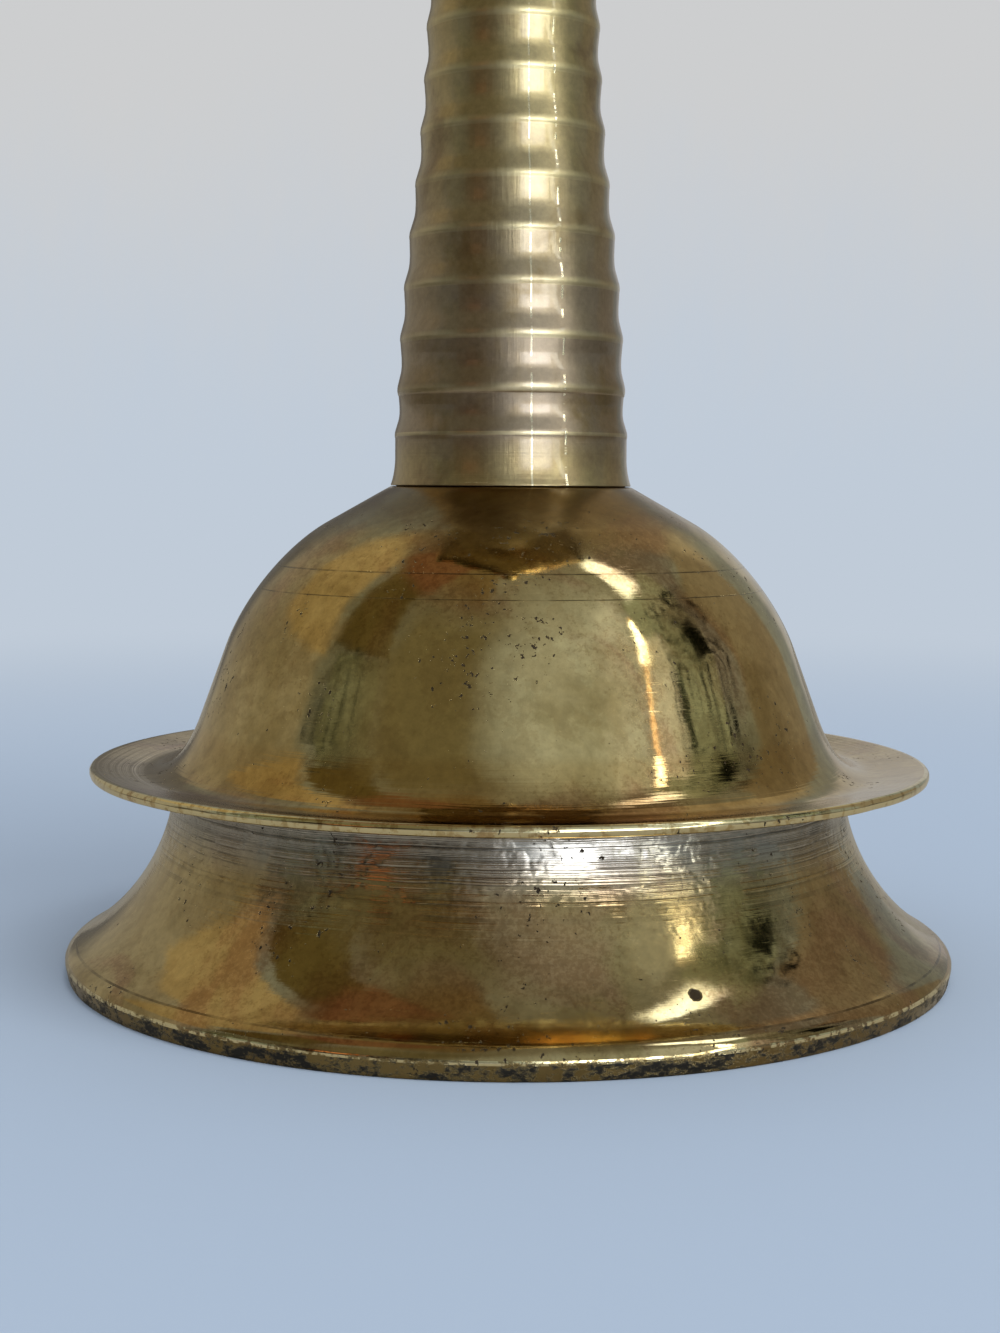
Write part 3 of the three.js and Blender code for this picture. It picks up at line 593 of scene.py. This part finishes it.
def satin_turned_brass():
    """Brass rubbed up and down with fine grit and dulled by handling: satin, with fine upright streaks that
    spread its highlights sideways, browner towards the foot and olive above, under a thin film of lamp oil."""
    finish, t = new_finish("satin_turned_brass")
    place = add(t, "VectorMath", {0: add(t, "TexCoord", out="Object"), 3: 1 / MM}, operation="SCALE")
    height = add(t, "SeparateXYZ", {0: place}, out="Z")
    run = add(t, "Attribute", attribute_name="run", out="Fac")
    clouds = add(t, "TexNoise", {"Vector": place, "Scale": 0.09, "Detail": 5.0, "Roughness": 0.6,
                                 "Distortion": 0.5})
    mottle = add(t, "TexNoise", {"Vector": place, "Scale": 1.3, "Detail": 4.0, "Roughness": 0.7})
    rise = add(t, "Math", {0: clouds, 1: 26.0, 2: height}, operation="MULTIPLY_ADD")
    olive = add(t, "MapRange", {0: rise, 1: 78.0, 2: 112.0}, interpolation_type="SMOOTHSTEP")
    tone = add(t, "Mix", {0: olive, 6: colour("#AA9880"), 7: colour("#C4B180")}, out=2, data_type="RGBA")
    # The foot band is painted lighter and more yellow: a painted highlight
    foot_highlight = add(t, "MapRange", {0: height, 1: 60.2, 2: 56.5, 3: 0.0, 4: 0.6}, interpolation_type="SMOOTHSTEP")
    tone = add(t, "Mix", {0: foot_highlight, 6: tone, 7: colour("#CBB578")}, out=2, data_type="RGBA")
    film = add(t, "MapRange", {0: clouds, 1: 0.45, 2: 0.68}, interpolation_type="SMOOTHSTEP")
    tone = add(t, "Mix", {0: film, 6: tone, 7: colour("#98825C")}, out=2, data_type="RGBA")
    tone = add(t, "VectorMath", {0: tone, 3: add(t, "MapRange", {0: mottle, 1: 0.3, 2: 0.7, 3: 0.8, 4: 1.05})},
               operation="SCALE")

    # Every ring's crest is rubbed bright by handling, and so is the top of the foot band; the lighter colour there
    # is also a painted highlight
    ring = add(t, "Math", {0: add(t, "Math", {0: height, 1: -RING_FOOT}), 1: 1 / RING_PITCH}, operation="MULTIPLY")
    ring = add(t, "Math", {0: add(t, "Math", {0: add(t, "Math", {0: ring}, operation="FRACT"), 1: 0.075},
                                  operation="SUBTRACT")}, operation="ABSOLUTE")
    ring = add(t, "MapRange", {0: ring, 1: 0.13, 2: 0.0}, interpolation_type="SMOOTHSTEP")
    ring = add(t, "Math", {0: ring, 1: add(t, "Math", {0: height, 1: RING_FOOT}, operation="GREATER_THAN")},
               operation="MULTIPLY")
    band = add(t, "Math", {0: height, 1: FOOT_BAND + 0.5, 2: 0.2}, operation="COMPARE")
    ring = add(t, "Math", {0: ring, 1: band}, operation="MAXIMUM")
    ring = add(t, "Math", {0: ring, 1: add(t, "Math", {0: height, 1: STEM_TOP - 16.5}, operation="LESS_THAN")},
               operation="MULTIPLY")
    ring = add(t, "Math", {0: ring, 1: add(t, "MapRange", {0: clouds, 1: 0.4, 2: 0.6, 3: 0.55, 4: 0.2})},
               operation="MULTIPLY")
    tone = add(t, "Mix", {0: ring, 6: tone, 7: colour("#EEE0AC")}, out=2, data_type="RGBA")

    # Two thin scratches, 0.2 mm wide and rubbed smooth, run up the front; their light colour is a painted
    # reflection of a narrow bright light. The right one is broken into dashes
    x, y = (add(t, "SeparateXYZ", {0: place}, out=axis) for axis in "XY")
    turn = add(t, "Math", {0: x, 1: add(t, "Math", {0: y, 1: -1.0}, operation="MULTIPLY")}, operation="ARCTAN2")
    turn = add(t, "Math", {0: turn}, operation="DEGREES")
    dashes = add(t, "TexNoise", {"W": height, "Scale": 0.5, "Detail": 3.0, "Roughness": 0.7}, noise_dimensions="1D")
    whole = add(t, "Math", {0: turn, 1: 9.6, 2: 0.45}, operation="COMPARE")
    whole = add(t, "Math", {0: whole, 1: add(t, "MapRange", {0: dashes, 1: 0.36, 2: 0.48})}, operation="MULTIPLY")
    broken = add(t, "Math", {0: turn, 1: 26.5, 2: 0.55}, operation="COMPARE")
    broken = add(t, "Math", {0: broken, 1: add(t, "MapRange", {0: dashes, 1: 0.5, 2: 0.56})}, operation="MULTIPLY")
    scratches_and_glints = add(t, "Math", {0: add(t, "Math", {0: whole, 1: 0.55}, operation="MULTIPLY"), 1: broken},
                    operation="MAXIMUM")
    tone = add(t, "Mix", {0: scratches_and_glints, 6: tone, 7: colour("#F0E6C4")}, out=2, data_type="RGBA")

    # Turning lines along the outline, deeper on the foot
    lines = add(t, "TexNoise", {"W": run, "Scale": 3.0, "Detail": 3.0, "Roughness": 0.7}, noise_dimensions="1D")
    foot = add(t, "Math", {0: height, 1: 56.6, 2: 2.2}, operation="COMPARE")
    depth = add(t, "Math", {0: foot, 1: 0.012, 2: 0.003}, operation="MULTIPLY_ADD")
    relief = add(t, "Math", {0: lines, 1: depth}, operation="MULTIPLY")

    # The streaks are drawn 0.3 mm apart, coarser than real ones, so that they show
    upright = add(t, "VectorMath", {0: place, 1: (3.4, 3.4, 0.12)}, operation="MULTIPLY")
    streaks = add(t, "TexNoise", {"Vector": upright, "Scale": 1.0, "Detail": 3.0, "Roughness": 0.65})
    relief = add(t, "Math", {0: streaks, 1: 0.02, 2: relief}, operation="MULTIPLY_ADD")
    shine = add(t, "MapRange", {0: film, 3: 0.33, 4: 0.4})
    shine = add(t, "Math", {0: mottle, 1: 0.08, 2: shine}, operation="MULTIPLY_ADD")
    shine = add(t, "Math", {0: scratches_and_glints, 1: -0.2, 2: shine}, operation="MULTIPLY_ADD")
    normal = add(t, "Bump", {"Strength": 1.0, "Distance": MM, "Height": relief})
    shader = add(t, "BsdfPrincipled", {"Base Color": tone, "Metallic": 1.0, "Roughness": shine,
                                      "Normal": normal, "Coat Weight": 0.8, "Coat Roughness": 0.07})
    add(t, "OutputMaterial", {0: shader})
    return finish


def raw_cast_brass():
    """The inside of the base, as it came from the sand mould: dull brown, pitted and unpolished."""
    finish, t = new_finish("raw_cast_brass")
    place = add(t, "VectorMath", {0: add(t, "TexCoord", out="Object"), 3: 1 / MM}, operation="SCALE")
    clouds = add(t, "TexNoise", {"Vector": place, "Scale": 0.1, "Detail": 5.0, "Roughness": 0.65})
    sand = add(t, "TexNoise", {"Vector": place, "Scale": 1.6, "Detail": 4.0, "Roughness": 0.7})
    tone = add(t, "Mix", {0: add(t, "MapRange", {0: clouds, 1: 0.35, 2: 0.65}), 6: colour("#8A7244"),
                          7: colour("#4E4128")}, out=2, data_type="RGBA")
    tone = add(t, "VectorMath", {0: tone, 3: add(t, "MapRange", {0: sand, 1: 0.3, 2: 0.7, 3: 0.7, 4: 1.1})},
               operation="SCALE")
    normal = add(t, "Bump", {"Strength": 1.0, "Distance": 0.12 * MM, "Height": sand})
    shine = add(t, "MapRange", {0: sand, 1: 0.3, 2: 0.7, 3: 0.5, 4: 0.72})
    shader = add(t, "BsdfPrincipled", {"Base Color": tone, "Metallic": 0.85, "Roughness": shine, "Normal": normal})
    add(t, "OutputMaterial", {0: shader})
    return finish


def oiled_packing():
    """Fibre packing soaked with oil: almost black, with short fibres and a dull sheen."""
    finish, t = new_finish("oiled_packing")
    place = add(t, "VectorMath", {0: add(t, "TexCoord", out="Object"), 3: 1 / MM}, operation="SCALE")
    fibres = add(t, "TexNoise", {"Vector": place, "Scale": 2.2, "Detail": 5.0, "Roughness": 0.75,
                                 "Distortion": 1.5})
    tone = add(t, "Mix", {0: add(t, "MapRange", {0: fibres, 1: 0.35, 2: 0.7}), 6: colour("#17110B"),
                          7: colour("#3D2E20")}, out=2, data_type="RGBA")
    normal = add(t, "Bump", {"Strength": 1.0, "Distance": 0.05 * MM, "Height": fibres})
    shine = add(t, "MapRange", {0: fibres, 3: 0.5, 4: 0.8})
    shader = add(t, "BsdfPrincipled", {"Base Color": tone, "Roughness": shine, "Normal": normal})
    add(t, "OutputMaterial", {0: shader})
    return finish


# Stage

FAR_AIR, HIGH_AIR = "#C0CBD8", "#CDCECF"


def make_floor():
    """A wide pale disc. The camera sees it fade, towards half a metre away, into the colour of the air behind it.
    For mirrored rays it is painted with shade on the left and right and with a pool of light in front."""
    mesh = bpy.data.meshes.new("pale_floor")
    angle = np.linspace(0, 2 * np.pi, 96, endpoint=False)
    mesh.from_pydata(np.column_stack([np.cos(angle), np.sin(angle), np.zeros(96)]) * 6, [], [list(range(96))])
    floor = bpy.data.objects.new("pale_floor", mesh)
    scene.collection.objects.link(floor)
    finish, t = new_finish("pale_floor")

    # Distance from the lamp in metres, and azimuth in degrees, counted as for the panels below
    place = add(t, "TexCoord", out="Object")
    away = add(t, "VectorMath", {0: place}, out="Value", operation="LENGTH")
    across = add(t, "SeparateXYZ", {0: place}, out="X")
    back = add(t, "Math", {0: add(t, "SeparateXYZ", {0: place}, out="Y"), 1: -1.0}, operation="MULTIPLY")
    turn = add(t, "Math", {0: add(t, "Math", {0: across, 1: back}, operation="ARCTAN2")}, operation="DEGREES")

    # Painted shade to the left and right, and a painted pool of light round 20 degrees to the right of the front
    left = add(t, "Math", {0: add(t, "MapRange", {0: turn, 1: 12.0, 2: -8.0}, interpolation_type="SMOOTHSTEP"),
                           1: add(t, "MapRange", {0: turn, 1: -135.0, 2: -105.0}, interpolation_type="SMOOTHSTEP")},
               operation="MULTIPLY")
    right = add(t, "Math", {0: add(t, "MapRange", {0: turn, 1: 46.0, 2: 64.0}, interpolation_type="SMOOTHSTEP"),
                            1: add(t, "MapRange", {0: turn, 1: 140.0, 2: 115.0}, interpolation_type="SMOOTHSTEP")},
                operation="MULTIPLY")
    far = add(t, "MapRange", {0: away, 1: 0.12, 2: 0.3}, interpolation_type="SMOOTHSTEP")
    dim = add(t, "Math", {0: add(t, "Math", {0: left, 1: right}), 1: far}, operation="MULTIPLY")
    lit = add(t, "Math", {0: add(t, "Math", {0: turn, 1: 20.0}, operation="SUBTRACT")}, operation="ABSOLUTE")
    lit = add(t, "MapRange", {0: lit, 1: 38.0, 2: 20.0}, interpolation_type="SMOOTHSTEP")
    lit = add(t, "Math", {0: add(t, "MapRange", {0: away, 1: 0.14, 2: 0.26}, interpolation_type="SMOOTHSTEP"),
                          1: lit}, operation="MULTIPLY")
    mirrored = add(t, "Mix", {0: dim, 6: colour("#A6A196"), 7: colour("#4A443A")}, out=2, data_type="RGBA")
    mirrored = add(t, "Mix", {0: lit, 6: mirrored, 7: colour("#E4ECF6")}, out=2, data_type="RGBA")

    pale = add(t, "Mix", {0: add(t, "LightPath", out="Is Glossy Ray"), 6: colour("#AFBFD2"), 7: mirrored}, out=2,
               data_type="RGBA")
    fade = add(t, "MapRange", {0: away, 1: 0.1, 2: 0.55}, interpolation_type="SMOOTHSTEP")
    seen = add(t, "Math", {0: fade, 1: add(t, "LightPath", out="Is Camera Ray")}, operation="MULTIPLY")
    matt = add(t, "BsdfPrincipled", {"Base Color": pale, "Roughness": 0.9})
    air = add(t, "Emission", {"Color": colour(FAR_AIR), "Strength": 1.0})
    add(t, "OutputMaterial", {0: add(t, "MixShader", {0: seen, 1: matt, 2: air})})
    mesh.materials.append(finish)


# What the brass mirrors: soft panels round a dim room, each (azimuth, elevation, half width, half height, lean,
# softness, colour, strength). They are in degrees, with azimuth 0 behind the camera and positive to the right, and
# lean is how far a panel moves to the right for each degree upwards. TORN panels are broken up into ragged spots.
PANELS = (
    # Overhead, then behind the lamp
    (50, 74, 60, 14, 0, 14, "#D8D6C8", 0.34),
    (-168, 6, 12, 10, 0, 14, "#E2E0DC", 0.19),
    (170, 6, 14, 10, 0, 6, "#E2E2E2", 0.60),
    (150, 46, 14, 13, 0, 8, "#E4D8C0", 0.55),
    # Left
    (-120, 18, 30, 19, 0, 8, "#E2DCCC", 0.43),
    (-118, 44, 19, 15, -0.8, 3.5, "#F0DCB0", 0.48),
    (-78, 49, 15, 14, -0.6, 2.5, "#9C8C5A", 0.37),
    (-92, 72, 24, 7, 0, 6, "#D2A078", 0.28),
    (-67, 19, 11, 13, 0, 1.2, "#CCD6C0", 0.38),
    # Front left, with a dark low band and a coppery spark in it
    (-34, 36, 14, 14, 0, 26, "#BEB48E", 0.31),
    (-28, 4, 28, 12, 0, 6, "#8C8070", 0.12),
    (-41, 12, 5, 4, 0, 2.5, "#EC9C64", 0.54),
    # Behind the lamp on the right, then front right: the pale middle of the dome and the glare under the flange
    (122, 22, 16, 20, 0, 3, "#E6D8C0", 0.31),
    (30, 34, 9, 8, 0.4, 44, "#DCE6E8", 0.68),
    (25, 2, 10, 8, 0, 10, "#EEF4FC", 7.00),
    # Right
    (80, 33, 17, 22, 0.5, 1.5, "#CCD8C6", 0.52),
    (65, 27, 5, 13, 0.3, 4, "#E6EAEA", 0.85),
    (50, 38, 4, 16, 0.5, 10, "#E6EEF2", 0.76),
    # Right, the bright upright bar in four pieces, then a highlight beside the crown and a dark patch
    (56.5, 26, 0.5, 24, 0.48, 0.7, "#F6DCB8", 2.2),
    (63.2, 40, 1.5, 8, 0.48, 0.9, "#FAFCF4", 5.6),
    (50.6, 14, 1.9, 11, 0.48, 0.9, "#FAFCF4", 5.6),
    (47.5, 7, 2.5, 10, 0.45, 1.2, "#F2F6EC", 5.0),
    (94, 63, 7, 5.5, 0.8, 4, "#EAF4FF", 3.2),
    (92, 33, 4, 6, 0.4, 1.2, "#3C4630", 0.09),
)
TORN = (
    (84, 30, 13, 19, 0.5, 2, "#4E5A44", 0.24),
    (97, 31, 8, 15, 0.5, 2, "#3C4430", 0.05),
    (-72, 20, 11, 15, 0, 1.5, "#5A6248", 0.20),
)


def make_world():
    """Even air for matt surfaces, a pale backdrop for the camera, and the panels for mirror reflections only."""
    world = bpy.data.worlds.new("studio_air")
    world.use_nodes = True
    scene.world = world
    t = world.node_tree
    t.nodes.clear()

    # The way a ray goes, as elevation and azimuth in degrees, made ragged so that no panel has a ruled edge
    way = add(t, "TexCoord", out="Generated")
    x, y, z = (add(t, "SeparateXYZ", {0: way}, out=axis) for axis in "XYZ")
    lift = add(t, "Math", {0: add(t, "Math", {0: z}, operation="ARCSINE")}, operation="DEGREES")
    back = add(t, "Math", {0: y, 1: -1.0}, operation="MULTIPLY")
    turn = add(t, "Math", {0: add(t, "Math", {0: x, 1: back}, operation="ARCTAN2")}, operation="DEGREES")
    tall = add(t, "VectorMath", {0: way, 1: (1, 1, 0.35)}, operation="MULTIPLY")
    ragged = add(t, "TexNoise", {"Vector": tall, "Scale": 9.0, "Detail": 6.0, "Roughness": 0.75})
    ragged = add(t, "Math", {0: ragged, 1: 0.5}, operation="SUBTRACT")
    turn = add(t, "Math", {0: ragged, 1: 9.0, 2: turn}, operation="MULTIPLY_ADD")
    lift = add(t, "Math", {0: ragged, 1: 7.0, 2: lift}, operation="MULTIPLY_ADD")

    # A dim room, browner overhead, with the panels laid over it one by one
    overhead = add(t, "MapRange", {0: lift, 1: 45.0, 2: 75.0}, interpolation_type="SMOOTHSTEP")
    room = add(t, "Mix", {0: overhead, 6: colour("#8A9090"), 7: colour("#75664A")}, out=2, data_type="RGBA")
    spots = add(t, "TexNoise", {"Vector": tall, "Scale": 34.0, "Detail": 4.0, "Roughness": 0.65,
                                "Distortion": 0.5})
    spots = add(t, "MapRange", {0: spots, 1: 0.5, 2: 0.56})
    for panel in PANELS + TORN:
        azimuth, elevation, wide, high, lean, soft, shade, strength = panel
        up = add(t, "Math", {0: lift, 1: float(elevation)}, operation="SUBTRACT")
        aside = add(t, "Math", {0: up, 1: -float(lean), 2: turn}, operation="MULTIPLY_ADD")
        aside = add(t, "Math", {0: aside, 1: float(azimuth)}, operation="SUBTRACT")
        aside = add(t, "Math", {0: aside, 1: -180.0, 2: 180.0}, operation="WRAP")
        aside = add(t, "Math", {0: aside}, operation="ABSOLUTE")
        above = add(t, "Math", {0: up}, operation="ABSOLUTE")
        across = add(t, "MapRange", {0: aside, 1: wide + soft, 2: float(wide)}, interpolation_type="SMOOTHSTEP")
        along = add(t, "MapRange", {0: above, 1: high + soft, 2: float(high)}, interpolation_type="SMOOTHSTEP")
        share = add(t, "Math", {0: across, 1: along}, operation="MULTIPLY")
        if panel in TORN:
            share = add(t, "Math", {0: share, 1: spots}, operation="MULTIPLY")
        glow = tuple(strength * channel for channel in colour(shade)[:3]) + (1,)
        room = add(t, "Mix", {0: share, 6: room, 7: glow}, out=2, data_type="RGBA")

    # The brass mirrors the room, the camera sees the backdrop, and all else is lit by even air
    height = add(t, "MapRange", {0: lift, 1: 0.0, 2: 12.0}, interpolation_type="SMOOTHSTEP")
    backdrop = add(t, "Mix", {0: height, 6: colour(FAR_AIR), 7: colour(HIGH_AIR)}, out=2, data_type="RGBA")
    even = add(t, "Background", {"Color": colour("#E8ECF2"), "Strength": 0.78})
    mirrored = add(t, "Background", {"Color": room, "Strength": 1.0})
    seen = add(t, "Background", {"Color": backdrop, "Strength": 1.0})
    air = add(t, "MixShader", {0: add(t, "LightPath", out="Is Glossy Ray"), 1: even, 2: mirrored})
    air = add(t, "MixShader", {0: add(t, "LightPath", out="Is Camera Ray"), 1: air, 2: seen})
    add(t, "OutputWorld", {0: air})


def make_lamp(name, place, aim, size, power):
    """A round soft lamp, size metres across and power watts strong, which the brass doesn't mirror."""
    data = bpy.data.lights.new(name, "AREA")
    data.shape, data.size, data.energy = "DISK", size, power
    lamp = bpy.data.objects.new(name, data)
    way = Vector(np.subtract(aim, place))
    lamp.matrix_world = Matrix.Translation(place) @ way.to_track_quat("-Z", "Y").to_matrix().to_4x4()
    lamp.visible_glossy = False
    scene.collection.objects.link(lamp)


def make_camera():
    """The photograph's viewpoint: 0.23 m in front, level with the stem's foot and tipped down by five degrees,
    through a lens of 54 mm on the long side of a 36 mm frame."""
    data = bpy.data.cameras.new("photo_camera")
    data.sensor_width, data.lens = 36, 36 * 2008 / 1333
    data.clip_start, data.clip_end = 0.01, 50
    camera = bpy.data.objects.new("photo_camera", data)
    tip, roll = 0.0893, 0.0056
    camera.matrix_world = (Matrix.Translation((-0.00109, -0.2281, 0.05398))
                           @ Matrix.Rotation(math.pi / 2 - tip, 4, "X") @ Matrix.Rotation(roll, 4, "Z"))
    scene.collection.objects.link(camera)
    scene.camera = camera


scene.view_settings.view_transform = "Standard"
make_camera()
make_world()
make_floor()
make_lamp("window_light", (0.5, -0.5, 1.2), (0, 0, 0.05), 1.0, 9)

polished = polished_cast_brass()
packing = oiled_packing()
make_base(polished, raw_cast_brass())
make_stem(satin_turned_brass())
make_bowl(polished)
make_finial(polished)
make_washer("stem_washer", "stem_packing", SEAT, SEAT_PACKING, 13.05, packing)
make_washer("bowl_washer", "bowl_packing", STEM_TOP, PACKING, 9.0, packing)
make_washer("finial_washer", "finial_packing", HUB_TOP, PACKING, 7.5, packing)
